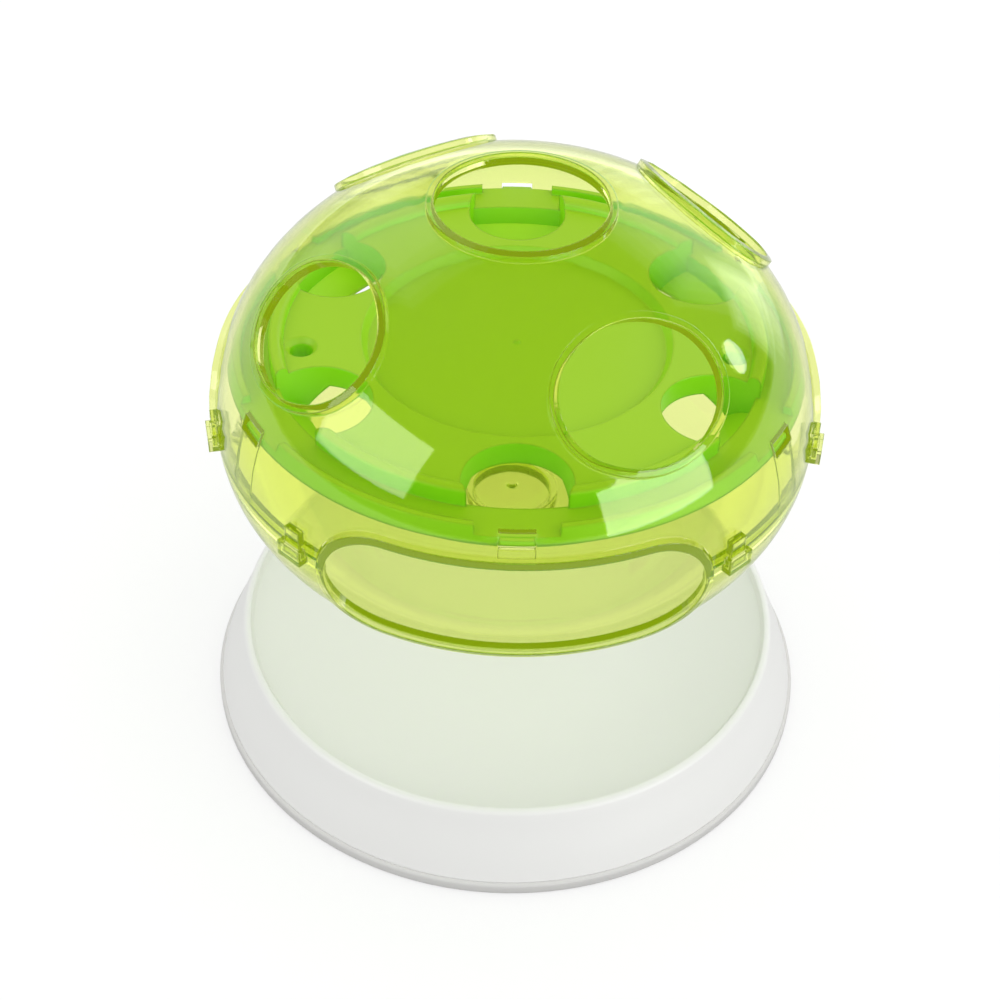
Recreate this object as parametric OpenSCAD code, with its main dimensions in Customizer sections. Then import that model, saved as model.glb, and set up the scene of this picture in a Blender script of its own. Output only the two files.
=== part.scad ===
// Cat puzzle feeder: a see-through globe with paw holes and a maze tray, lifted off the round
// catch dish that it sits in.
// Frame: origin at the centre of the underside, +Z up, the front faces -Y.

/* [Globe] */
// Outside diameter of the globe at its parting line
globe_d = 190; // [180:1:200]
// Height of the dome above the parting line
dome_h = 77; // [74:0.5:82]
// Depth of the bowl below the parting line, also the radius of its side curve
bowl_h = 43; // [41:0.5:46]
// Wall thickness of dome and bowl
shell_t = 2.2; // [1.8:0.1:2.6]
// How far the globe is lifted above its seat in the dish
lift = 64.4; // [30:0.1:90]
// Gap left between the bowl and the dish where the globe sits in it
seat_gap = 0.3; // [0.2:0.05:0.5]
// Gap left at the parting line
seam_gap = 0.15; // [0.1:0.05:0.3]
// Diameter of the hollow in the bottom of the bowl
hollow_d = 26; // [22:0.5:30]
// Depth of the hollow
hollow_h = 5; // [3:0.2:6]

/* [Paw holes] */
// Diameter of the round hole at the top
top_hole_d = 52; // [46:0.5:54]
// Width of a side hole, along the globe
side_hole_w = 51.5; // [48:0.5:54]
// Height of a side hole, up the dome
side_hole_h = 42.5; // [40:0.5:44]
// Radius of the tight ends of a side hole
side_hole_end_r = 18.5; // [16:0.5:19.5]
// Height of a side hole's centre above the parting line
side_hole_z = 53; // [51:0.5:54]
// Number of side holes
side_holes = 4; // [3:1:4]
// Turn of the first side hole from the front
side_hole_turn = 30; // [25:1:35]
// Width of the raised collar round every hole
collar_w = 2.3; // [1.5:0.1:3]
// Height of the collars above the globe
collar_rise = 2; // [1:0.1:2.5]

/* [Food openings] */
// Width of a food opening
slot_w = 111; // [100:0.5:113]
// Reach of a food opening above the parting line
slot_up = 16.8; // [14:0.2:17]
// Reach of a food opening below the parting line
slot_down = 19.2; // [16:0.2:21]

/* [Tray windows] */
// Width of the windows that hold the tray
window_w = 10.5; // [8:0.5:13]
// Height of the windows
window_h = 4.6; // [4:0.2:5.4]
// Height of the windows' middle above the parting line
window_z = 23.6; // [22.6:0.2:24]
// Depth of the groove below each window, inside the wall
groove_depth = 0.8; // [0.4:0.1:1]

/* [Clips] */
// Width of a clip loop
clip_w = 9; // [8:0.5:11]
// How far a clip stands out from the globe
clip_out = 3.2; // [2.8:0.1:4]
// Reach of a clip loop below the parting line
clip_down = 2.4; // [2:0.1:3]
// Reach of a clip loop above the parting line
clip_up = 3; // [2.5:0.1:4]
// Height of the dome's clip block above the loop
clip_block_h = 5.4; // [4:0.2:7]
// Turn of each clip from the middle of the wall between two food openings
clip_turn = 17.7; // [16.5:0.1:18.5]

/* [Tray] */
// Height of the tray's floor above the parting line
tray_z = 26.5; // [25.6:0.1:27]
// Thickness of the tray's walls
tray_t = 2; // [1.6:0.1:2.4]
// Diameter of the shallow well in the middle
well_d = 93; // [80:1:96]
// Depth of the well
well_depth = 3; // [2:0.1:4]
// Outside diameter of the raised deck
deck_d = 154; // [150:0.5:156]
// Width of the bead round the deck
bead_w = 4.6; // [4:0.1:5]
// Height of the bead above the floor
bead_rise = 3; // [2:0.1:3.5]
// Drop from the floor to the ledge outside the deck
ledge_drop = 3.2; // [2.6:0.1:3.6]
// Height of the fence on the ledge
fence_h = 2.6; // [1.5:0.1:3]
// Reach of the lip below the ledge's top
lip_h = 2.4; // [2.2:0.1:3]
// Reach of the apron under the deck, below the ledge's top
apron_h = 13; // [8:0.5:14]
// Diameter of a food drop hole
drop_d = 32.4; // [28:0.2:33]
// Distance of the drop holes' centres from the axis
drop_r = 68; // [66:0.5:69]
// Depth of the chute under each drop hole, on the side of the axis
drop_wall_h = 5.5; // [3:0.5:7]
// Distance from the axis at which the chutes start to deepen
chute_r = 60; // [58:0.5:62]
// Width over which they deepen to the apron's lower edge
chute_run = 8; // [6:0.5:10]
// Diameter of the two finger holes
finger_d = 7; // [5:0.5:7.5]
// Distance of the finger holes from the axis
finger_r = 67; // [65:0.5:68]
// Turn of the finger holes from the front
finger_turn = 83; // [80:1:90]
// Depth of the finger holes' collars
finger_h = 8; // [4:0.5:9]
// Clearance between the tray and the dome
tray_gap = 0.3; // [0.2:0.05:0.5]

/* [Base] */
// Diameter of the base at the table
base_d = 206; // [200:1:214]
// Height of the base's rim
base_h = 29; // [27:0.5:32]
// Diameter of the crest of the rim
rim_d = 183; // [180:0.5:186]
// Height of the dish's floor above the table
floor_z = 12.4; // [12:0.1:13.4]
// Diameter of the dish's flat floor
floor_d = 76; // [60:1:90]
// Wall thickness of the base
base_t = 3; // [2.5:0.1:3.4]
// Height of the soft foot ring
foot_h = 4.6; // [4:0.1:5.2]
// Width of the foot ring
foot_w = 9; // [7.5:0.5:11]

/* [Hidden] */
$fn = 96;

// Colours
clear_green = [0.80, 0.87, 0.30, 0.45];
lime = [0.55, 0.76, 0.10];
white = [0.93, 0.93, 0.92];
soft_grey = [0.80, 0.80, 0.79];

// The globe has three food openings, with six tray windows and drop holes between and above them
slots = 3;
windows = 6;
slot_step = 360 / slots;
window_step = 360 / windows;

// Steps in a quarter of the dome's outline, and in a small rounded edge
bands = 18;
round_steps = 5;
// How far an oval's long arcs stay inside its ends, so that the arcs cross cleanly
arc_ease = 0.08;
// Overlap that joins two solids or carries a cut through a face
eps = 0.5;
// Length that reaches past the whole globe
far = globe_d;

globe_r = globe_d / 2;
bowl_a = globe_r - bowl_h;

// The dish is a flat floor and one arc up to the rolled rim
rim_r = rim_d / 2;
roll_r = base_t * 0.7;
floor_r = floor_d / 2;
dish_run = rim_r - roll_r - floor_r;
dish_rise = base_h - roll_r - floor_z;
dish_r = (dish_run * dish_run + dish_rise * dish_rise) / (2 * dish_rise);

// Height of the parting line: the bowl's side curve would touch the dish's arc at seat_z
seat_z = floor_z + dish_r - sqrt(pow(dish_r - bowl_h, 2) - pow(bowl_a - floor_r, 2));
globe_z = seat_z + seat_gap + lift;

// Places of the side holes on the dome's outline
side_hole_r = globe_r * sqrt(1 - pow(side_hole_z / dome_h, 2));
side_hole_tilt = atan2(side_hole_r / pow(globe_r, 2), side_hole_z / pow(dome_h, 2));

// Locating lip inside the bowl's rim
lip_t = 1.2;
lip_up = 2.5;
lip_down = 4;
lip_gap = 0.25;

// Clip loop's front plate and the clearances of the dome's tongue in it
clip_plate_t = 1.3;
clip_gap = 0.3;
clip_cheek_t = 1.3;
tongue_w = clip_w - 2 * clip_cheek_t - 2 * clip_gap;

// Tray heights above the parting line
well_z = tray_z - well_depth;
ledge_z = tray_z - ledge_drop;
well_slope = 2;
deck_r = deck_d / 2;
bead_edge_r = 1.5;
deck_wall_t = 1.5;
fence_t = 2.2;
fence_gap = 24;
finger_chamfer = 1.6;
finger_wall_t = 1.5;
lug_reach = 1;

// Small marks where the plastic flowed into the moulds
gate_d = 4.6;
gate_h = 0.8;

// Points of an arc about a centre, from one angle to another
function arc(centre, r, from, to, steps) =
  [for (i = [0 : steps]) let (a = from + (to - from) * i / steps) centre + r * [cos(a), sin(a)]];

// Radius of the second arc of an oval that is tangent to the first
function flat_arc_r(half_w, half_h, end_r) =
  (pow(half_w - end_r, 2) + half_h * half_h - end_r * end_r) / (2 * (half_h - end_r));

// Point of the dome's outline at angle t, moved outwards by grow
function dome_point(t, grow) =
  let (n = [cos(t) / globe_r, sin(t) / dome_h])
  [globe_r * cos(t), dome_h * sin(t)] + grow * n / norm(n);

// The dome's outer form as a solid, grown or shrunk, standing on the given height
module dome_solid(grow, foot = seam_gap) {
  outline = [for (i = [1 : bands]) dome_point(90 * i / bands, grow)];
  rotate_extrude()
    polygon(concat([[0, foot], [globe_r + grow, foot]], outline));
}

// The bowl's outer form as a solid, grown or shrunk, with its rim raised by rise
module bowl_solid(grow, rise = 0) {
  depth = bowl_h + grow;
  rotate_extrude() {
    translate([0, -depth]) square([bowl_a, depth + rise]);
    translate([bowl_a, 0]) intersection() {
      circle(depth);
      translate([0, -depth]) square(depth);
    }
    if (rise > 0) translate([bowl_a - eps, -eps]) square([depth + eps, rise + eps]);
  }
}

// Outline of a food opening, grown by grow
module slot_outline(grow) {
  end_r = (slot_up + slot_down) / 2;
  translate([0, (slot_up - slot_down) / 2]) {
    square([slot_w - 2 * end_r, 2 * (end_r + grow)], center = true);
    for (side = [-1, 1])
      translate([side * (slot_w / 2 - end_r), 0]) circle(end_r + grow);
  }
}

// The three food openings as prisms that reach out of the globe
module slot_prisms(grow) {
  for (i = [0 : slots - 1])
    rotate([0, 0, i * slot_step])
      translate([0, -globe_r / 3, 0])
        rotate([90, 0, 0])
          linear_extrude(far) slot_outline(grow);
}

// Oval outline of a side hole, grown by grow
module side_hole_outline(grow) {
  half_w = side_hole_w / 2;
  half_h = side_hole_h / 2;
  end_x = half_w - side_hole_end_r;
  flat_r = flat_arc_r(half_w, half_h, side_hole_end_r);
  drop = flat_r - half_h;
  meet_x = (flat_r + grow) * end_x / norm([end_x, drop]);
  long_r = flat_r + grow - arc_ease;
  for (side = [-1, 1])
    translate([side * end_x, 0]) circle(side_hole_end_r + grow);
  intersection() {
    translate([0, drop]) circle(long_r);
    translate([0, -drop]) circle(long_r);
    square([2 * meet_x, 2 * side_hole_w], center = true);
  }
}

// The paw holes as prisms square to the dome
module paw_prisms(grow) {
  translate([0, 0, dome_h / 2]) cylinder(d = top_hole_d + 2 * grow, h = far);
  for (i = [0 : side_holes - 1])
    rotate([0, 0, side_hole_turn + i * 360 / side_holes])
      translate([0, -side_hole_r, side_hole_z])
        rotate([side_hole_tilt, 0, 0])
          translate([0, 0, -dome_h / 4])
            linear_extrude(far) side_hole_outline(grow);
}

// Turns a child to each of the six clips
module at_clips() {
  for (i = [0 : slots - 1])
    for (side = [-1, 1])
      rotate([0, 0, slot_step * (i + 0.5) + side * clip_turn]) children();
}

// Turns a child to each of the six tray windows
module at_windows() {
  for (i = [0 : windows - 1])
    rotate([0, 0, i * window_step]) children();
}

// A block that starts at the given distance from the axis and reaches outwards
module outward_block(w, from_r, to_r, from_z, to_z) {
  translate([-w / 2, -to_r, from_z]) cube([w, to_r - from_r, to_z - from_z]);
}

// Catch dish with a flared skirt and a rolled rim
module base_dish() {
  foot_r = base_d / 2;
  dish_turn = asin(dish_run / dish_r);
  dish_c = [floor_r, floor_z + dish_r];
  skirt_top = [rim_r + roll_r * 0.8, base_h - roll_r * 1.4];
  skirt_foot = [foot_r - 1.2, foot_h];
  color(white)
    rotate_extrude()
      polygon(concat(
        [[0, floor_z]],
        arc(dish_c, dish_r, -90, -90 + dish_turn, 12),
        arc([rim_r - roll_r * 0.2, base_h - roll_r], roll_r, 110, 20, round_steps),
        [skirt_top + [0.6, -0.8], skirt_foot + [-2, 6], skirt_foot],
        [skirt_foot + [-base_t, 0], skirt_foot + [-2 - base_t, 6], skirt_top + [-base_t, -base_t]],
        arc(dish_c, dish_r + base_t, -90 + dish_turn * 0.9, -90, 12),
        [[0, floor_z - base_t]]
      ));
}

// Soft ring under the skirt that keeps the feeder from sliding
module foot_ring() {
  foot_r = base_d / 2;
  edge_r = 1.2;
  color(soft_grey)
    rotate_extrude()
      polygon(concat(
        [[foot_r - foot_w, 0], [foot_r - edge_r, 0]],
        arc([foot_r - edge_r, edge_r], edge_r, -90, 0, round_steps),
        arc([foot_r - edge_r, foot_h - edge_r], edge_r, 0, 90, round_steps),
        [[foot_r - foot_w, foot_h]]
      ));
}

// Loop on the bowl that takes a tongue of the dome
module clip_loop() {
  difference() {
    outward_block(clip_w, globe_r - 1, globe_r + clip_out, -clip_down, clip_up);
    outward_block(clip_w - 2 * clip_cheek_t, 0, globe_r + clip_out - clip_plate_t, -clip_down / 2, far);
    outward_block(far, 0, globe_r + clip_gap, 0, far);
  }
}

// Mark left in the middle of a moulding
module gate_mark(z, d) {
  translate([0, 0, z - eps]) cylinder(d = d, h = eps);
  translate([0, 0, z]) cylinder(d1 = d, d2 = d / 2, h = gate_h);
}

// Lower half of the globe, with its food openings, clip loops and the hollow in its bottom
module lower_bowl() {
  hollow_r = hollow_d / 2;
  lip_r = globe_r - shell_t - lip_gap;
  color(clear_green)
    translate([0, 0, globe_z])
      difference() {
        union() {
          difference() {
            union() {
              bowl_solid(0);
              intersection() {
                bowl_solid(collar_rise);
                slot_prisms(collar_w);
              }
            }
            bowl_solid(-shell_t, eps);
          }
          translate([0, 0, -bowl_h]) cylinder(r = hollow_r + shell_t, h = hollow_h + shell_t);
          gate_mark(-bowl_h + hollow_h + shell_t, gate_d);
          rotate_extrude()
            polygon([
              [lip_r - lip_t, -lip_down],
              [globe_r - shell_t + eps, -lip_down - lip_t],
              [globe_r - shell_t + eps, -eps],
              [lip_r, -eps],
              [lip_r, lip_up],
              [lip_r - lip_t, lip_up]
            ]);
          at_clips() clip_loop();
        }
        translate([0, 0, -bowl_h - eps]) cylinder(r = hollow_r, h = hollow_h + eps);
        slot_prisms(0);
      }
}

// Block and tongue on the dome that drop into a loop of the bowl
module clip_tongue() {
  tongue_out = globe_r + clip_out - clip_plate_t - clip_gap;
  outward_block(tongue_w, globe_r - 1.5, tongue_out, clip_up + clip_gap, clip_up + clip_block_h);
  outward_block(tongue_w, globe_r + clip_gap, tongue_out, -clip_down / 2 + clip_gap, clip_up + 1);
}

// Upper half of the globe, with the paw holes, food openings and tray windows
module dome() {
  color(clear_green)
    translate([0, 0, globe_z])
      difference() {
        union() {
          dome_solid(0);
          intersection() {
            dome_solid(collar_rise);
            union() {
              paw_prisms(collar_w);
              slot_prisms(collar_w);
            }
          }
          at_clips() clip_tongue();
        }
        dome_solid(-shell_t, -eps);
        paw_prisms(0);
        slot_prisms(0);
        at_windows() outward_block(window_w, 0, far, window_z - window_h / 2, window_z + window_h / 2);
        intersection() {
          dome_solid(groove_depth - shell_t, -eps);
          at_windows() outward_block(window_w, globe_r / 2, far, -eps, window_z);
        }
      }
}

// Cross-section of the tray's deck: well, floor and bead, with a wall that stands in the rim
module deck_section() {
  well_r = well_d / 2;
  bead_r = deck_r - bead_w;
  top = tray_z + bead_rise;
  under = tray_z - tray_t;
  polygon(concat(
    [[0, well_z - tray_t], [0, well_z], [well_r, well_z], [well_r + well_slope, tray_z], [bead_r, tray_z]],
    arc([bead_r + bead_rise, tray_z], bead_rise, 180, 90, round_steps),
    arc([deck_r - bead_edge_r, top - bead_edge_r], bead_edge_r, 90, 0, round_steps),
    [[deck_r, ledge_z - eps], [deck_r - deck_wall_t, ledge_z - eps], [deck_r - deck_wall_t, under]],
    [[well_r + well_slope, under], [well_r, well_z - tray_t]]
  ));
}

// Cross-section of the tray's rim: apron, ledge and lip, out to past the dome
module rim_section() {
  apron_r = deck_r - tray_t / 2;
  polygon([
    [apron_r, ledge_z - apron_h],
    [apron_r + tray_t, ledge_z - apron_h],
    [apron_r + tray_t, ledge_z - tray_t],
    [globe_r, ledge_z - lip_h],
    [globe_r, ledge_z],
    [apron_r, ledge_z]
  ]);
}

// Cross-section of the space that the chutes fill, from the deck down to the apron's lower edge
module chute_section() {
  top = tray_z - tray_t / 2;
  shallow_z = tray_z - tray_t - drop_wall_h;
  deep_z = ledge_z - apron_h;
  outer_r = deck_r - deck_wall_t / 3;
  polygon([
    [0, shallow_z],
    [chute_r, shallow_z],
    [chute_r + chute_run, deep_z],
    [outer_r, deep_z],
    [outer_r, top],
    [0, top]
  ]);
}

// Turns a child to each of the two finger holes
module at_finger_holes() {
  for (side = [-1, 1])
    rotate([0, 0, side * finger_turn])
      translate([0, -finger_r, 0]) children();
}

// Deck of the tray, with its drop holes, their chutes and the finger holes
module tray_deck() {
  drop_hole_r = drop_d / 2;
  difference() {
    union() {
      rotate_extrude() deck_section();
      gate_mark(well_z, gate_d / 2);
      intersection() {
        rotate_extrude() chute_section();
        at_windows() translate([0, -drop_r, 0]) cylinder(r = drop_hole_r + tray_t, h = far);
      }
      at_finger_holes()
        translate([0, 0, tray_z - finger_h])
          cylinder(d = finger_d + 2 * finger_wall_t, h = finger_h - tray_t / 2);
    }
    at_windows() translate([0, -drop_r, 0]) cylinder(r = drop_hole_r, h = far);
    at_finger_holes() {
      cylinder(d = finger_d, h = far);
      translate([0, 0, tray_z - finger_chamfer])
        cylinder(d1 = finger_d, d2 = finger_d + 4 * finger_chamfer, h = 2 * finger_chamfer);
    }
  }
}

// Maze tray: a deck with drop holes, and a rim with a fence and lugs that locate it under the dome
module tray() {
  fence_top = ledge_z + fence_h;
  fence_r = globe_r * sqrt(1 - pow(fence_top / dome_h, 2)) - shell_t - tray_gap - fence_t;
  color(lime)
    translate([0, 0, globe_z]) {
      tray_deck();
      intersection() {
        dome_solid(-shell_t - tray_gap);
        union() {
          rotate_extrude() rim_section();
          difference() {
            translate([0, 0, ledge_z - eps]) cylinder(r = globe_r, h = fence_h + eps);
            cylinder(r = fence_r, h = far);
            at_windows() outward_block(fence_gap, globe_r / 2, far, 0, far);
          }
        }
      }
      intersection() {
        dome_solid(lug_reach - shell_t);
        at_windows()
          outward_block(
            window_w - 2 * tray_gap, fence_r, globe_r,
            window_z - window_h / 2 + tray_gap, ledge_z - tray_gap
          );
      }
    }
}

base_dish();
foot_ring();
lower_bowl();
dome();
tray();
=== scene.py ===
"""Looks of the cat puzzle feeder.

A clear green globe with a lime maze tray, lifted off its white catch dish.
"""

import logging
import math
from dataclasses import dataclass
from enum import Enum

import bpy
from mathutils import Matrix, Vector


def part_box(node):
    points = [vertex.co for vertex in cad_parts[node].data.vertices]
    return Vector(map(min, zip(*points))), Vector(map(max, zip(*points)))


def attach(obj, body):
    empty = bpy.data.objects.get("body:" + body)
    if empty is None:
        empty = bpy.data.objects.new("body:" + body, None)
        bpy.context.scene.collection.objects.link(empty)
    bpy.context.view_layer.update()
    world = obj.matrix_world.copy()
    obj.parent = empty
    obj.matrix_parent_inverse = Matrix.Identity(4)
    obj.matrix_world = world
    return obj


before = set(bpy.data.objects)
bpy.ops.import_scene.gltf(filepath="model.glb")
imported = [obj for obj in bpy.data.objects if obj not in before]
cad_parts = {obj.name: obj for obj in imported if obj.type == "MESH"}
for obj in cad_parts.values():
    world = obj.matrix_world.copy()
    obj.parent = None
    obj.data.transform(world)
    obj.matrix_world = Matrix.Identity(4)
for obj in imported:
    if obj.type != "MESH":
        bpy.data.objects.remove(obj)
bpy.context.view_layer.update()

LOG = logging.getLogger("cat_feeder")
# How far the dome's tongues reach below the parting plane, in metres
TONGUE_DROP = 0.0009

WHITE = (1.0, 1.0, 1.0, 1.0)
NOISE_MEAN = 0.5
# Rays that the bevel shader sends out from each point
BEVEL_SAMPLES = 6

Colour = tuple[float, float, float]


class Effect(Enum):
    """Shader node groups that several finishes share."""

    GRAIN = "moulded_grain"
    TONE = "tone_drift"
    MARKS = "handling_marks"
    # Painted bounce light: upright faces coloured apart from level tops
    PAINTED_BOUNCE = "painted_upright_bounce"


class LampShape(Enum):
    """Outlines of the studio lamps, by Blender's names."""

    RECTANGLE = "RECTANGLE"
    ELLIPSE = "ELLIPSE"


@dataclass
class NodeBench:
    """A node tree with short ways to place and wire its nodes."""

    tree: bpy.types.NodeTree

    def place(self, kind: str, **settings: object) -> bpy.types.Node:
        """Adds a node.

        Args:
            kind: Blender's name of the node type.
            **settings: properties of the node itself.

        Returns:
            The new node.
        """
        node = self.tree.nodes.new(kind)
        for name, value in settings.items():
            setattr(node, name, value)
        return node

    def wire(self, source: bpy.types.NodeSocket, target: bpy.types.NodeSocket) -> None:
        """Links an output, the source, to an input, the target."""
        self.tree.links.new(source, target)

    def math(self, operation: str, first: object, second: object) -> bpy.types.NodeSocket:
        """Adds a Math node.

        Args:
            operation: Blender's name of the operation.
            first: a socket or a number.
            second: a socket or a number.

        Returns:
            The result's socket.
        """
        node = self.place("ShaderNodeMath", operation=operation)
        for value, socket in zip((first, second), node.inputs):
            if isinstance(value, bpy.types.NodeSocket):
                self.wire(value, socket)
            else:
                socket.default_value = value
        return node.outputs["Value"]

    def blend(
        self, share: bpy.types.NodeSocket, first: bpy.types.NodeSocket, second: bpy.types.NodeSocket
    ) -> bpy.types.NodeSocket:
        """Adds a Mix Shader.

        Args:
            share: the second shader's share.
            first: the first shader.
            second: the second shader.

        Returns:
            The mixed shader's socket.
        """
        node = self.place("ShaderNodeMixShader")
        for source, socket in zip((share, first, second), node.inputs):
            self.wire(source, socket)
        return node.outputs["Shader"]

    def relief(
        self, height: bpy.types.NodeSocket, depth: float, edge_round: float
    ) -> bpy.types.NodeSocket:
        """Adds fine relief over edges that look slightly rounded.

        Args:
            height: the relief's height, from 0 to 1.
            depth: the relief's depth in metres.
            edge_round: radius of the edges' rounding in metres.

        Returns:
            The normal's socket.
        """
        bump = self.place("ShaderNodeBump")
        bump.inputs["Distance"].default_value = depth
        self.wire(height, bump.inputs["Height"])
        rounded = self.place("ShaderNodeBevel", samples=BEVEL_SAMPLES)
        rounded.inputs["Radius"].default_value = edge_round
        self.wire(rounded.outputs["Normal"], bump.inputs["Normal"])
        return bump.outputs["Normal"]

    def noise(self, scale: object, detail: float, vector: bpy.types.NodeSocket) -> bpy.types.NodeSocket:
        """Adds a noise texture.

        Args:
            scale: a socket or a number.
            detail: the noise's detail.
            vector: where the noise is read.

        Returns:
            The factor's socket.
        """
        node = self.place("ShaderNodeTexNoise")
        node.inputs["Detail"].default_value = detail
        self.wire(vector, node.inputs["Vector"])
        if isinstance(scale, bpy.types.NodeSocket):
            self.wire(scale, node.inputs["Scale"])
        else:
            node.inputs["Scale"].default_value = scale
        return node.outputs["Fac"]


class EffectShelf:
    """Builds each shared node group once."""

    GRAIN_DETAIL = 3.0
    WAVE_DETAIL = 1.0
    # The slow wave's cells per metre, as a share of the grain's
    WAVE_SCALE = 0.04
    TONE_DETAIL = 2.0
    # How handling marks are drawn out and turned
    MARK_STRETCH = (1.0, 4.0, 2.0)
    MARK_TURN = (0.3, 0.2, 0.6)
    SMEAR_SCALE = 22.0
    SMEAR_DETAIL = 4.0
    SMEAR_SHARE = 0.7
    RUB_SCALE = 160.0
    RUB_DETAIL = 2.0
    RUB_SHARE = 0.3
    # A face is upright where its normal's height is below the first, and level above the second
    UPRIGHT_BELOW = 0.1
    LEVEL_ABOVE = 0.9

    def __init__(self) -> None:
        """Starts with no groups."""
        self.groups: dict[Effect, bpy.types.NodeTree] = {}

    def group(self, effect: Effect) -> bpy.types.NodeTree:
        """Gives an effect's group, and builds it on its first use.

        Args:
            effect: which effect.

        Returns:
            The node group.
        """
        makers = {
            Effect.GRAIN: self._grain,
            Effect.TONE: self._tone,
            Effect.MARKS: self._marks,
            Effect.PAINTED_BOUNCE: self._painted_bounce,
        }
        if effect not in self.groups:
            self.groups[effect] = makers[effect]()
        return self.groups[effect]

    def place(self, bench: NodeBench, effect: Effect, **values: object) -> bpy.types.Node:
        """Places an effect's group in a material.

        Args:
            bench: the material's nodes.
            effect: which effect.
            **values: the group's input values by name.

        Returns:
            The group's node.
        """
        node = bench.place("ShaderNodeGroup", node_tree=self.group(effect))
        for name, value in values.items():
            node.inputs[name].default_value = value
        return node

    @staticmethod
    def _open(
        effect: Effect, inputs: dict[str, tuple[str, object]], outputs: dict[str, str]
    ) -> tuple[NodeBench, bpy.types.Node, bpy.types.Node]:
        """Starts a node group.

        Args:
            effect: the effect that the group makes.
            inputs: each input's socket type and default value.
            outputs: each output's socket type.

        Returns:
            The bench, the group's input node and its output node.
        """
        tree = bpy.data.node_groups.new(effect.value, "ShaderNodeTree")
        for name, (kind, value) in inputs.items():
            socket = tree.interface.new_socket(name, in_out="INPUT", socket_type=kind)
            socket.default_value = value
        for name, kind in outputs.items():
            tree.interface.new_socket(name, in_out="OUTPUT", socket_type=kind)
        bench = NodeBench(tree)
        return bench, bench.place("NodeGroupInput"), bench.place("NodeGroupOutput")

    def _grain(self) -> bpy.types.NodeTree:
        """Makes the fine relief of a moulded surface: a tooled grain over a slow wave.

        Returns:
            The effect's node tree.
        """
        bench, given, result = self._open(
            Effect.GRAIN,
            {"Scale": ("NodeSocketFloat", 900.0), "Wave": ("NodeSocketFloat", 0.2)},
            {"Height": "NodeSocketFloat"},
        )
        where = bench.place("ShaderNodeTexCoord").outputs["Object"]
        fine = bench.noise(given.outputs["Scale"], self.GRAIN_DETAIL, where)
        wide = bench.math("MULTIPLY", given.outputs["Scale"], self.WAVE_SCALE)
        slow = bench.noise(wide, self.WAVE_DETAIL, where)
        share = bench.math("MULTIPLY", slow, given.outputs["Wave"])
        bench.wire(bench.math("ADD", fine, share), result.inputs["Height"])
        return bench.tree

    def _tone(self) -> bpy.types.NodeTree:
        """Makes the slight drift of a moulding's colour from place to place.

        Returns:
            The effect's node tree.
        """
        bench, given, result = self._open(
            Effect.TONE,
            {
                "Color": ("NodeSocketColor", (0.8, 0.8, 0.8, 1.0)),
                "Scale": ("NodeSocketFloat", 14.0),
                "Amount": ("NodeSocketFloat", 0.05),
            },
            {"Color": "NodeSocketColor"},
        )
        where = bench.place("ShaderNodeTexCoord").outputs["Object"]
        drift = bench.noise(given.outputs["Scale"], self.TONE_DETAIL, where)
        swing = bench.math("MULTIPLY", bench.math("SUBTRACT", drift, NOISE_MEAN), given.outputs["Amount"])
        shade = bench.place("ShaderNodeHueSaturation")
        bench.wire(bench.math("ADD", swing, 1.0), shade.inputs["Value"])
        bench.wire(given.outputs["Color"], shade.inputs["Color"])
        bench.wire(shade.outputs["Color"], result.inputs["Color"])
        return bench.tree

    def _marks(self) -> bpy.types.NodeTree:
        """Makes the smears and fine rubs that handling leaves in a surface's gloss.

        Returns:
            The effect's node tree.
        """
        bench, given, result = self._open(
            Effect.MARKS,
            {"Roughness": ("NodeSocketFloat", 0.3), "Amount": ("NodeSocketFloat", 0.1)},
            {"Roughness": "NodeSocketFloat"},
        )
        where = bench.place("ShaderNodeTexCoord").outputs["Object"]
        drawn = bench.place("ShaderNodeMapping")
        drawn.inputs["Scale"].default_value = self.MARK_STRETCH
        drawn.inputs["Rotation"].default_value = self.MARK_TURN
        bench.wire(where, drawn.inputs["Vector"])
        smear = bench.noise(self.SMEAR_SCALE, self.SMEAR_DETAIL, drawn.outputs["Vector"])
        rub = bench.noise(self.RUB_SCALE, self.RUB_DETAIL, drawn.outputs["Vector"])
        smears = bench.math("MULTIPLY", smear, self.SMEAR_SHARE)
        both = bench.math("ADD", smears, bench.math("MULTIPLY", rub, self.RUB_SHARE))
        swing = bench.math("MULTIPLY", bench.math("SUBTRACT", both, NOISE_MEAN), given.outputs["Amount"])
        bench.wire(bench.math("ADD", given.outputs["Roughness"], swing), result.inputs["Roughness"])
        return bench.tree

    def _painted_bounce(self) -> bpy.types.NodeTree:
        """Makes painted bounce light: upright faces get their own colour, painted in for light bounced
        inside the lime plastic.

        Returns:
            The effect's node tree.
        """
        bench, given, result = self._open(
            Effect.PAINTED_BOUNCE,
            {
                "Flat": ("NodeSocketColor", (0.8, 0.8, 0.8, 1.0)),
                "Upright": ("NodeSocketColor", (0.4, 0.4, 0.4, 1.0)),
            },
            {"Color": "NodeSocketColor"},
        )
        facing = bench.place("ShaderNodeSeparateXYZ")
        bench.wire(bench.place("ShaderNodeNewGeometry").outputs["True Normal"], facing.inputs["Vector"])
        level = bench.place("ShaderNodeMapRange", interpolation_type="SMOOTHSTEP")
        level.inputs["From Min"].default_value = self.UPRIGHT_BELOW
        level.inputs["From Max"].default_value = self.LEVEL_ABOVE
        bench.wire(facing.outputs["Z"], level.inputs["Value"])
        mix = bench.place("ShaderNodeMixRGB")
        bench.wire(level.outputs["Result"], mix.inputs["Fac"])
        bench.wire(given.outputs["Upright"], mix.inputs["Color1"])
        bench.wire(given.outputs["Flat"], mix.inputs["Color2"])
        bench.wire(mix.outputs["Color"], result.inputs["Color"])
        return bench.tree


EFFECTS = EffectShelf()


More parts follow.
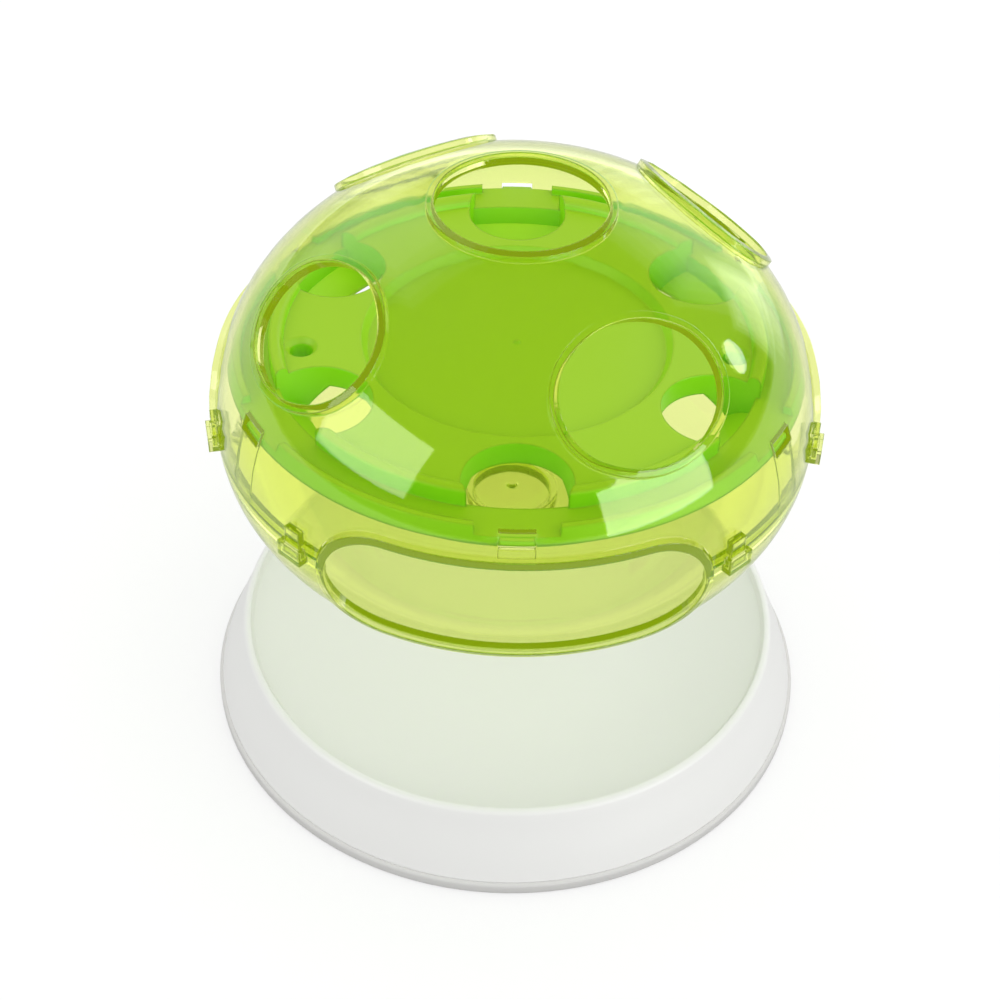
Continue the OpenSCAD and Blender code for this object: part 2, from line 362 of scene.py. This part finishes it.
@dataclass(frozen=True)
class MouldedFinish:
    """An opaque moulded or rubber surface.

    Attributes:
        name: the material's name.
        colour: linear base colour.
        roughness: mean roughness.
        marks: how far handling changes the roughness.
        drift: how far the colour drifts.
        grain_scale: grain cells per metre.
        grain_depth: height of the grain in metres.
        sheen: soft bloom of rubber.
        painted_side_bounce: linear base colour of upright faces, where it differs, painted in for bounced
            light.
        edge_round: radius of the edges' rounding in metres.
    """

    name: str
    colour: Colour
    roughness: float = 0.4
    marks: float = 0.1
    drift: float = 0.04
    grain_scale: float = 900.0
    grain_depth: float = 0.00002
    sheen: float = 0.0
    painted_side_bounce: Colour | None = None
    edge_round: float = 0.0006

    def material(self) -> bpy.types.Material:
        """Makes the material.

        Returns:
            A material with one Principled shader, shaded by the shared effects.
        """
        made = bpy.data.materials.new(self.name)
        made.use_nodes = True
        bench = NodeBench(made.node_tree)
        shader = made.node_tree.nodes["Principled BSDF"]
        shader.inputs["Sheen Weight"].default_value = self.sheen
        colour = (*self.colour, 1.0)
        tone = EFFECTS.place(bench, Effect.TONE, Color=colour, Amount=self.drift)
        bench.wire(tone.outputs["Color"], shader.inputs["Base Color"])
        # Painted bounce light: upright faces take the side colour instead of the base colour
        if self.painted_side_bounce:
            side_bounce = EFFECTS.place(bench, Effect.PAINTED_BOUNCE, Flat=colour, Upright=(*self.painted_side_bounce, 1.0))
            bench.wire(side_bounce.outputs["Color"], tone.inputs["Color"])
        marks = EFFECTS.place(bench, Effect.MARKS, Roughness=self.roughness, Amount=self.marks)
        bench.wire(marks.outputs["Roughness"], shader.inputs["Roughness"])
        grain = EFFECTS.place(bench, Effect.GRAIN, Scale=self.grain_scale)
        normal = bench.relief(grain.outputs["Height"], self.grain_depth, self.edge_round)
        bench.wire(normal, shader.inputs["Normal"])
        return made


@dataclass(frozen=True)
class ClearFinish:
    """A see-through tinted moulding.

    Attributes:
        name: the material's name.
        tint: what one wall lets through.
        lamp_tint: what one face lets through for light from the lamps.
        painted_edge_glow: colour painted as a glow where a ray has run along inside the wall to a cut
            edge.
        guided_turns: inner reflections after which a ray counts as guided and shows the painted glow.
        ior: refractive index.
        roughness: mean roughness.
        marks: how far handling changes the roughness.
        wave_scale: cells per metre of the moulding's slow waves.
        wave_depth: height in metres of those waves.
        drift: how far the tint drifts.
        edge_round: radius of the edges' rounding in metres.
    """

    name: str
    tint: Colour
    lamp_tint: Colour
    painted_edge_glow: Colour
    guided_turns: float = 1.5
    ior: float = 1.49
    roughness: float = 0.03
    marks: float = 0.03
    wave_scale: float = 60.0
    wave_depth: float = 0.00004
    drift: float = 0.03
    edge_round: float = 0.0007

    def material(self) -> bpy.types.Material:
        """Makes the material.

        Returns:
            A material of clear plastic that lets light from the lamps reach what is behind it.
        """
        made = bpy.data.materials.new(self.name)
        made.use_nodes = True
        bench = NodeBench(made.node_tree)
        shader = made.node_tree.nodes["Principled BSDF"]
        tone = EFFECTS.place(bench, Effect.TONE, Color=(*self.tint, 1.0), Amount=self.drift)
        bench.wire(tone.outputs["Color"], shader.inputs["Base Color"])
        shader.inputs["Transmission Weight"].default_value = 1.0
        shader.inputs["IOR"].default_value = self.ior
        marks = EFFECTS.place(bench, Effect.MARKS, Roughness=self.roughness, Amount=self.marks)
        bench.wire(marks.outputs["Roughness"], shader.inputs["Roughness"])
        wave = EFFECTS.place(bench, Effect.GRAIN, Scale=self.wave_scale)
        normal = bench.relief(wave.outputs["Height"], self.wave_depth, self.edge_round)
        bench.wire(normal, shader.inputs["Normal"])
        path = bench.place("ShaderNodeLightPath")
        lamps = bench.math("MAXIMUM", path.outputs["Is Shadow Ray"], path.outputs["Is Diffuse Ray"])
        inside = bench.place("ShaderNodeNewGeometry").outputs["Backfacing"]
        turned = bench.math("GREATER_THAN", path.outputs["Glossy Depth"], self.guided_turns)
        # Painted glow: rays that have run along inside the wall emit the edge colour instead of being
        # traced on
        edge = bench.place("ShaderNodeEmission")
        edge.inputs["Color"].default_value = (*self.painted_edge_glow, 1.0)
        through = bench.place("ShaderNodeBsdfTransparent")
        through.inputs["Color"].default_value = (*self.lamp_tint, 1.0)
        lit = bench.blend(lamps, shader.outputs["BSDF"], through.outputs["BSDF"])
        whole = bench.blend(bench.math("MULTIPLY", inside, turned), lit, edge.outputs["Emission"])
        bench.wire(whole, made.node_tree.nodes["Material Output"].inputs["Surface"])
        return made


@dataclass(frozen=True)
class SoftShading:
    """A modifier that shades round forms as one surface and keeps true edges crisp.

    Attributes:
        crease_deg: edges that fold more than this stay crisp.
        weld: distance within which vertices of neighbouring faces join, in metres.
    """

    crease_deg: float = 24.0
    weld: float = 0.000002

    def tree(self) -> bpy.types.NodeTree:
        """Makes the modifier's node tree.

        Returns:
            A geometry node tree that welds, then sets which edges are crisp.
        """
        tree = bpy.data.node_groups.new("soft_shading", "GeometryNodeTree")
        tree.interface.new_socket("Geometry", in_out="INPUT", socket_type="NodeSocketGeometry")
        tree.interface.new_socket("Geometry", in_out="OUTPUT", socket_type="NodeSocketGeometry")
        bench = NodeBench(tree)
        given = bench.place("NodeGroupInput")
        result = bench.place("NodeGroupOutput")
        weld = bench.place("GeometryNodeMergeByDistance")
        weld.inputs["Distance"].default_value = self.weld
        angle = bench.place("GeometryNodeInputMeshEdgeAngle")
        crisp = bench.place("FunctionNodeCompare", data_type="FLOAT", operation="GREATER_THAN")
        crisp.inputs["B"].default_value = math.radians(self.crease_deg)
        normals = bench.place("GeometryNodeSetMeshNormal", mode="SHARPNESS")
        normals.inputs["Remove Custom"].default_value = True
        normals.inputs["Face Sharpness"].default_value = False
        bench.wire(given.outputs["Geometry"], weld.inputs["Geometry"])
        bench.wire(angle.outputs["Unsigned Angle"], crisp.inputs["A"])
        bench.wire(weld.outputs["Geometry"], normals.inputs["Mesh"])
        bench.wire(crisp.outputs["Result"], normals.inputs["Edge Sharpness"])
        bench.wire(normals.outputs["Mesh"], result.inputs["Geometry"])
        return tree


SOFT_SHADING = SoftShading().tree()


def soften(piece: bpy.types.Object) -> None:
    """Gives a piece the soft shading modifier."""
    modifier = piece.modifiers.new("soft_shading", "NODES")
    modifier.node_group = SOFT_SHADING


def dress_node(name: str, material: bpy.types.Material) -> None:
    """Gives a CAD node its finish and soft shading.

    Args:
        name: the node's name.
        material: its finish.
    """
    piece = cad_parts[name]
    piece.data.materials.clear()
    piece.data.materials.append(material)
    soften(piece)
    LOG.info("dressed %s with %s", name, material.name)


def outward(azimuth: float, elevation: float) -> Vector:
    """Gives the direction, of length 1, to an azimuth from the front and an elevation in degrees."""
    turn, lift = math.radians(azimuth), math.radians(elevation)
    return Vector((math.sin(turn) * math.cos(lift), -math.cos(turn) * math.cos(lift), math.sin(lift)))


@dataclass
class Globe:
    """The clear dome and bowl.

    Attributes:
        finish: the clear green plastic of both halves.
    """

    finish: ClearFinish = ClearFinish(
        name="clear_green_plastic",
        tint=(0.87, 0.935, 0.345),
        lamp_tint=(0.98, 0.985, 0.91),
        # Painted glow of the cut edges, a dark olive
        painted_edge_glow=(0.26, 0.37, 0.008),
    )

    def dress(self) -> None:
        """Gives both halves the clear finish."""
        material = self.finish.material()
        dress_node("dome", material)
        dress_node("lower_bowl", material)


@dataclass(frozen=True)
class ChuteRamps:
    """Slopes in the outer part of the tray's chutes, which lead kibble inwards. Lengths are in metres.

    Attributes:
        count: drop holes round the tray.
        hole_at: distance of the holes' axes from the tray's middle.
        reach: distance from a hole's axis at which its ramp ends, just inside the chute's wall.
        inner_radius: the lower edge's distance from the tray's middle.
        outer_radius: the upper edge's distance from the tray's middle, just inside the apron.
        inner_height: the lower edge's height above the parting plane.
        outer_height: the upper edge's height above the parting plane.
        thickness: the ramps' thickness.
        rows: facets from the lower to the upper edge.
        columns: facets across a ramp.
    """

    count: int = 6
    hole_at: float = 0.068
    reach: float = 0.0167
    inner_radius: float = 0.0675
    outer_radius: float = 0.0765
    inner_height: float = 0.0119
    outer_height: float = 0.017
    thickness: float = 0.0012
    rows: int = 4
    columns: int = 16

    def _spot(self, hole: int, row: int, column: int, parting: float) -> Vector:
        """Gives a point on a ramp's upper face.

        Args:
            hole: which drop hole, from 0 at the front.
            row: from 0 at the lower edge.
            column: from 0 at one side.
            parting: height of the parting plane.

        Returns:
            The point.
        """
        rise = row / self.rows
        radius = self.inner_radius + rise * (self.outer_radius - self.inner_radius)
        height = self.inner_height + rise * (self.outer_height - self.inner_height)
        cosine = (radius**2 + self.hole_at**2 - self.reach**2) / (2 * radius * self.hole_at)
        across = 2 * column / self.columns - 1.0
        turn = math.tau * hole / self.count + across * math.acos(cosine)
        return Vector((radius * math.sin(turn), -radius * math.cos(turn), parting + height))

    def _shape(self, parting: float) -> tuple[list[Vector], list[tuple[int, ...]]]:
        """Makes the corners and faces of all ramps.

        Args:
            parting: height of the parting plane.

        Returns:
            The corners and the faces.
        """
        corners: list[Vector] = []
        faces: list[tuple[int, ...]] = []
        wide = self.columns + 1
        sheet = wide * (self.rows + 1)
        drop = Vector((0.0, 0.0, -self.thickness))
        edge = list(range(wide))
        edge += [row * wide + self.columns for row in range(1, self.rows + 1)]
        edge += [self.rows * wide + column for column in range(self.columns - 1, -1, -1)]
        edge += [row * wide for row in range(self.rows - 1, 0, -1)]
        for hole in range(self.count):
            first = len(corners)
            upper = [
                self._spot(hole, row, column, parting)
                for row in range(self.rows + 1)
                for column in range(wide)
            ]
            corners += upper
            corners += [corner + drop for corner in upper]
            for row in range(self.rows):
                for column in range(self.columns):
                    low = first + row * wide + column
                    quad = (low, low + wide, low + wide + 1, low + 1)
                    faces.append(quad)
                    faces.append(tuple(corner + sheet for corner in reversed(quad)))
            for one, two in zip(edge, edge[1:] + edge[:1]):
                faces.append((first + one, first + two, first + two + sheet, first + one + sheet))
        return corners, faces

    def build(self, parting: float, material: bpy.types.Material) -> None:
        """Makes the ramps as one piece on the lid.

        Args:
            parting: height of the parting plane.
            material: the ramps' finish.
        """
        corners, faces = self._shape(parting)
        mesh = bpy.data.meshes.new("chute_ramps")
        mesh.from_pydata(corners, [], faces)
        mesh.materials.append(material)
        piece = bpy.data.objects.new("chute_ramps", mesh)
        bpy.context.scene.collection.objects.link(piece)
        soften(piece)
        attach(piece, "lid")
        LOG.info("built %s", piece.name)


@dataclass
class MazeTray:
    """The lime tray inside the dome.

    Attributes:
        parting: height of the globe's parting plane, in metres.
        finish: the tray's opaque plastic.
        ramp_finish: the same plastic, painted brighter for light that comes through it where it is thin.
        ramps: the slopes in its chutes.
    """

    parting: float
    finish: MouldedFinish = MouldedFinish(
        name="lime_tray_plastic",
        colour=(0.31, 0.57, 0.008),
        # Painted bounce light: upright faces greener and brighter than level tops
        painted_side_bounce=(0.27, 0.72, 0.003),
        roughness=0.38,
        marks=0.08,
        grain_depth=0.000015,
        edge_round=0.0012,
    )
    # Painted light: a brighter lime than the tray's, for light coming through the thin ramps
    ramp_finish: MouldedFinish = MouldedFinish(
        name="thin_lime_plastic_painted_lit",
        colour=(0.47, 0.84, 0.012),
        roughness=0.38,
        marks=0.08,
        grain_depth=0.000015,
    )
    ramps: ChuteRamps = ChuteRamps()

    def dress(self) -> None:
        """Gives the tray its finish and the ramps in its chutes."""
        dress_node("tray", self.finish.material())
        self.ramps.build(self.parting, self.ramp_finish.material())


@dataclass
class CatchBase:
    """The white catch dish and its soft foot ring.

    Attributes:
        dish_finish: satin white plastic.
        foot_finish: soft pale grey ring.
    """

    dish_finish: MouldedFinish = MouldedFinish(
        name="satin_white_plastic",
        colour=(0.84, 0.84, 0.825),
        roughness=0.45,
        marks=0.08,
        drift=0.015,
    )
    foot_finish: MouldedFinish = MouldedFinish(
        name="soft_grey_foot",
        colour=(0.66, 0.655, 0.64),
        roughness=0.7,
        sheen=0.1,
        grain_depth=0.00004,
    )

    def dress(self) -> None:
        """Gives the dish and the ring their finishes."""
        dress_node("base_dish", self.dish_finish.material())
        dress_node("foot_ring", self.foot_finish.material())


@dataclass(frozen=True)
class PhotoCamera:
    """The photograph's view.

    Attributes:
        distance: from the globe's parting plane, in metres.
        elevation: above the horizon, in degrees.
        azimuth: round the object from its front, in degrees.
        roll: about the line of sight, in degrees.
        focal_px: focal length in picture widths of 1000 pixels.
        aim_px: where the middle of the parting plane falls in the picture.
        centre_px: the picture's middle.
        sensor_mm: the sensor's width.
        nearest: distance in metres from which things are shown.
    """

    distance: float = 0.600
    elevation: float = 39.33
    azimuth: float = -1.25
    roll: float = 2.0
    focal_px: float = 1870.0
    aim_px: tuple[float, float] = (515.0, 401.0)
    centre_px: tuple[float, float] = (500.0, 500.0)
    sensor_mm: float = 36.0
    nearest: float = 0.01

    def build(self, target: Vector) -> None:
        """Makes the camera and sets it as the scene's own.

        Args:
            target: the middle of the parting plane.
        """
        turn = math.radians(self.azimuth)
        back = outward(self.azimuth, self.elevation)
        right = Vector((math.cos(turn), math.sin(turn), 0.0))
        up = right.cross(-back)
        rolled = Matrix.Rotation(math.radians(-self.roll), 3, back * -1.0)
        right, up = rolled @ right, rolled @ up
        yaw = Matrix.Rotation(math.atan2(self.aim_px[0] - self.centre_px[0], self.focal_px), 3, up)
        right, sight = yaw @ right, yaw @ -back
        pitch = Matrix.Rotation(math.atan2(self.aim_px[1] - self.centre_px[1], self.focal_px), 3, right)
        sight, up = pitch @ sight, pitch @ up
        data = bpy.data.cameras.new("photo_camera")
        data.sensor_width = self.sensor_mm
        data.lens = self.sensor_mm * self.focal_px / (2 * self.centre_px[0])
        data.clip_start = self.nearest
        camera = bpy.data.objects.new("photo_camera", data)
        bpy.context.scene.collection.objects.link(camera)
        axes = Matrix((right, up, -sight)).transposed().to_4x4()
        camera.matrix_world = Matrix.Translation(target + back * self.distance) @ axes
        bpy.context.scene.camera = camera


@dataclass(frozen=True)
class SoftBox:
    """A studio lamp, right-angled or elliptical, that faces the globe.

    Attributes:
        name: the lamp's name.
        azimuth: round the object from its front, in degrees.
        elevation: above the horizon, in degrees.
        width: in metres.
        height: in metres.
        glow: radiance of its face, where a white surface lit by 1 all round shows as 1.
        distance: from the globe, in metres.
        spin: turn about its own axis, in degrees.
        shape: its outline.
        steps: nested lamps that feather its edge.
        feather: how far the nested lamps' sizes lie from its own, as a share of it.
        layer_gap: distance between nested lamps, in metres.
        in_mirrors: whether glossy surfaces show it.
        on_surfaces: whether it lights matt surfaces.
    """

    name: str
    azimuth: float
    elevation: float
    width: float
    height: float
    glow: float
    distance: float = 0.9
    spin: float = 0.0
    shape: LampShape = LampShape.RECTANGLE
    steps: int = 1
    feather: float = 0.45
    layer_gap: float = 0.004
    in_mirrors: bool = True
    on_surfaces: bool = True

    def build(self, target: Vector) -> None:
        """Makes the lamp, as several nested ones where its edge is feathered.

        Args:
            target: what it faces.
        """
        out = outward(self.azimuth, self.elevation)
        facing = (-out).to_track_quat("-Z", "Y").to_matrix().to_4x4()
        spin = Matrix.Rotation(math.radians(self.spin), 4, "Z")
        for step in range(self.steps):
            size = 1.0 + self.feather * ((2 * step + 1) / self.steps - 1.0)
            middle = target + out * (self.distance + self.layer_gap * step)
            lamp = bpy.data.objects.new(f"{self.name}_{step}", self._light(size))
            lamp.visible_glossy, lamp.visible_diffuse = self.in_mirrors, self.on_surfaces
            bpy.context.scene.collection.objects.link(lamp)
            lamp.matrix_world = Matrix.Translation(middle) @ facing @ spin

    def _light(self, size: float) -> bpy.types.AreaLight:
        """Makes the light of one nested lamp.

        Args:
            size: its share of the lamp's own size.

        Returns:
            The light.
        """
        data = bpy.data.lights.new(self.name, "AREA")
        data.shape = self.shape.value
        data.size, data.size_y = self.width * size, self.height * size
        data.energy = self.glow / self.steps * math.pi * data.size * data.size_y
        return data


@dataclass(frozen=True)
class Studio:
    """The white floor, the pale room and the lamps.

    Attributes:
        floor_side: the floor's side in metres.
        floor_colour: what the floor gives back to the camera.
        bounce_colour: what the floor gives back to the object.
        floor_glow: what the camera sees on top of the lit floor.
        floor_mirrored: how far glossy surfaces show the floor as the camera does.
        room_glow: the room's light.
        band_glow: what the room's walls add above the horizon, all round.
        band_rise: heights, as sines, between which that band comes in.
        band_fall: heights, as sines, between which it goes out, from the upper one down.
        mirror_glow: how bright glossy surfaces show the room between the lamps.
        mirror_turns: reflections after which a ray counts as mirrored.
        boxes: the soft boxes.
    """

    floor_side: float = 12.0
    floor_colour: float = 0.45
    bounce_colour: float = 0.4
    floor_glow: float = 0.53
    floor_mirrored: float = 0.6
    room_glow: float = 0.82
    band_glow: float = 0.52
    band_rise: tuple[float, float] = (0.1, 0.35)
    band_fall: tuple[float, float] = (0.9, 0.7)
    mirror_glow: float = 0.064
    mirror_turns: float = 0.5
    boxes: tuple[SoftBox, ...] = (
        SoftBox("left_box", -57.0, 25.0, width=0.62, height=0.42, glow=3.2, on_surfaces=False),
        SoftBox("right_box", 50.0, 10.0, width=0.66, height=0.36, glow=4.5, on_surfaces=False),
        SoftBox(
            "small_lamp",
            106.0,
            20.0,
            width=0.115,
            height=0.172,
            glow=4.5,
            spin=-22.0,
            shape=LampShape.ELLIPSE,
            on_surfaces=False,
        ),
        SoftBox("back_right_box", 145.0, 16.0, 0.6, 0.75, glow=1.2, steps=5, on_surfaces=False),
        SoftBox(
            "edge_right_box",
            127.0,
            10.5,
            width=0.3,
            height=0.285,
            glow=1.4,
            steps=3,
            feather=0.25,
            on_surfaces=False,
        ),
        SoftBox("back_left_box", -146.0, 32.0, 0.5, 0.85, glow=1.0, steps=5, on_surfaces=False),
        SoftBox("back_wall", 180.0, 7.0, width=0.6, height=0.3, glow=0.9, steps=4, on_surfaces=False),
        SoftBox("front_box", 60.0, 30.0, width=0.8, height=0.8, glow=0.5, in_mirrors=False),
    )

    @staticmethod
    def _seen(bench: NodeBench, in_mirrors: float) -> bpy.types.NodeSocket:
        """Gives 1 for rays straight from the camera or clear plastic, and a share for mirrored ones.

        Args:
            bench: the nodes of the floor or the world.
            in_mirrors: the share for mirrored rays.

        Returns:
            The share's socket.
        """
        path = bench.place("ShaderNodeLightPath")
        sight = bench.math("MAXIMUM", path.outputs["Is Camera Ray"], path.outputs["Is Transmission Ray"])
        share = bench.math("MULTIPLY", path.outputs["Is Glossy Ray"], in_mirrors)
        return bench.math("MAXIMUM", sight, share)

    def _floor_material(self) -> bpy.types.Material:
        """Makes the floor's white, which keeps the object's shadow.

        Returns:
            The floor's material.
        """
        made = bpy.data.materials.new("white_floor")
        made.use_nodes = True
        made.node_tree.nodes.remove(made.node_tree.nodes["Principled BSDF"])
        bench = NodeBench(made.node_tree)
        lit = bench.place("ShaderNodeBsdfDiffuse")
        lit.inputs["Color"].default_value = (self.floor_colour,) * 3 + (1.0,)
        bounce = bench.place("ShaderNodeBsdfDiffuse")
        bounce.inputs["Color"].default_value = (self.bounce_colour,) * 3 + (1.0,)
        glow = bench.place("ShaderNodeEmission")
        glow.inputs["Strength"].default_value = self.floor_glow
        both = bench.place("ShaderNodeAddShader")
        bench.wire(lit.outputs["BSDF"], both.inputs[0])
        bench.wire(glow.outputs["Emission"], both.inputs[1])
        shown = self._seen(bench, self.floor_mirrored)
        whole = bench.blend(shown, bounce.outputs["BSDF"], both.outputs["Shader"])
        bench.wire(whole, made.node_tree.nodes["Material Output"].inputs["Surface"])
        return made

    def _build_floor(self) -> None:
        """Lays the floor under the feeder."""
        half = self.floor_side / 2
        mesh = bpy.data.meshes.new("floor")
        corners = [(-half, -half, 0.0), (half, -half, 0.0), (half, half, 0.0), (-half, half, 0.0)]
        mesh.from_pydata(corners, [], [(0, 1, 2, 3)])
        mesh.materials.append(self._floor_material())
        floor = bpy.data.objects.new("floor", mesh)
        bpy.context.scene.collection.objects.link(floor)

    def _room_light(self, bench: NodeBench) -> bpy.types.NodeSocket:
        """Gives the room's light by direction, with a brighter band above the horizon.

        Args:
            bench: the world's nodes.

        Returns:
            The light's socket.
        """
        height = bench.place("ShaderNodeSeparateXYZ")
        bench.wire(bench.place("ShaderNodeTexCoord").outputs["Generated"], height.inputs["Vector"])
        limits: list[bpy.types.NodeSocket] = []
        for start, end in (self.band_rise, self.band_fall):
            ramp = bench.place("ShaderNodeMapRange", interpolation_type="SMOOTHSTEP")
            ramp.inputs["From Min"].default_value = start
            ramp.inputs["From Max"].default_value = end
            bench.wire(height.outputs["Z"], ramp.inputs["Value"])
            limits.append(ramp.outputs["Result"])
        band = bench.math("MULTIPLY", *limits)
        return bench.math("ADD", bench.math("MULTIPLY", band, self.band_glow), self.room_glow)

    def _build_room(self) -> None:
        """Lights the scene evenly from all round."""
        world = bpy.data.worlds.new("pale_room")
        world.use_nodes = True
        bpy.context.scene.world = world
        bench = NodeBench(world.node_tree)
        room = world.node_tree.nodes["Background"]
        room.inputs["Color"].default_value = WHITE
        bench.wire(self._room_light(bench), room.inputs["Strength"])
        seen = bench.place("ShaderNodeBackground")
        seen.inputs["Color"].default_value = WHITE
        mirrored = bench.place("ShaderNodeBackground")
        mirrored.inputs["Color"].default_value = WHITE
        mirrored.inputs["Strength"].default_value = self.mirror_glow
        lit = bench.blend(self._seen(bench, 0.0), room.outputs["Background"], seen.outputs["Background"])
        path = bench.place("ShaderNodeLightPath")
        turned = bench.math("GREATER_THAN", path.outputs["Glossy Depth"], self.mirror_turns)
        in_mirrors = bench.math("MULTIPLY", path.outputs["Is Glossy Ray"], turned)
        whole = bench.blend(in_mirrors, lit, mirrored.outputs["Background"])
        bench.wire(whole, world.node_tree.nodes["World Output"].inputs["Surface"])

    def build(self, target: Vector) -> None:
        """Sets up floor, room and lamps.

        Args:
            target: what the lamps face.
        """
        self._build_floor()
        self._build_room()
        for box in self.boxes:
            box.build(target)
            LOG.info("placed lamp %s", box.name)


def main() -> None:
    """Builds the scene piece by piece."""
    logging.basicConfig(level=logging.INFO)
    bpy.context.scene.view_settings.view_transform = "Standard"
    parting = Vector((0.0, 0.0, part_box("dome")[0].z + TONGUE_DROP))
    for part in (Globe(), MazeTray(parting.z), CatchBase()):
        part.dress()
    Studio().build(parting)
    PhotoCamera().build(parting)


if __name__ == "__main__":
    main()
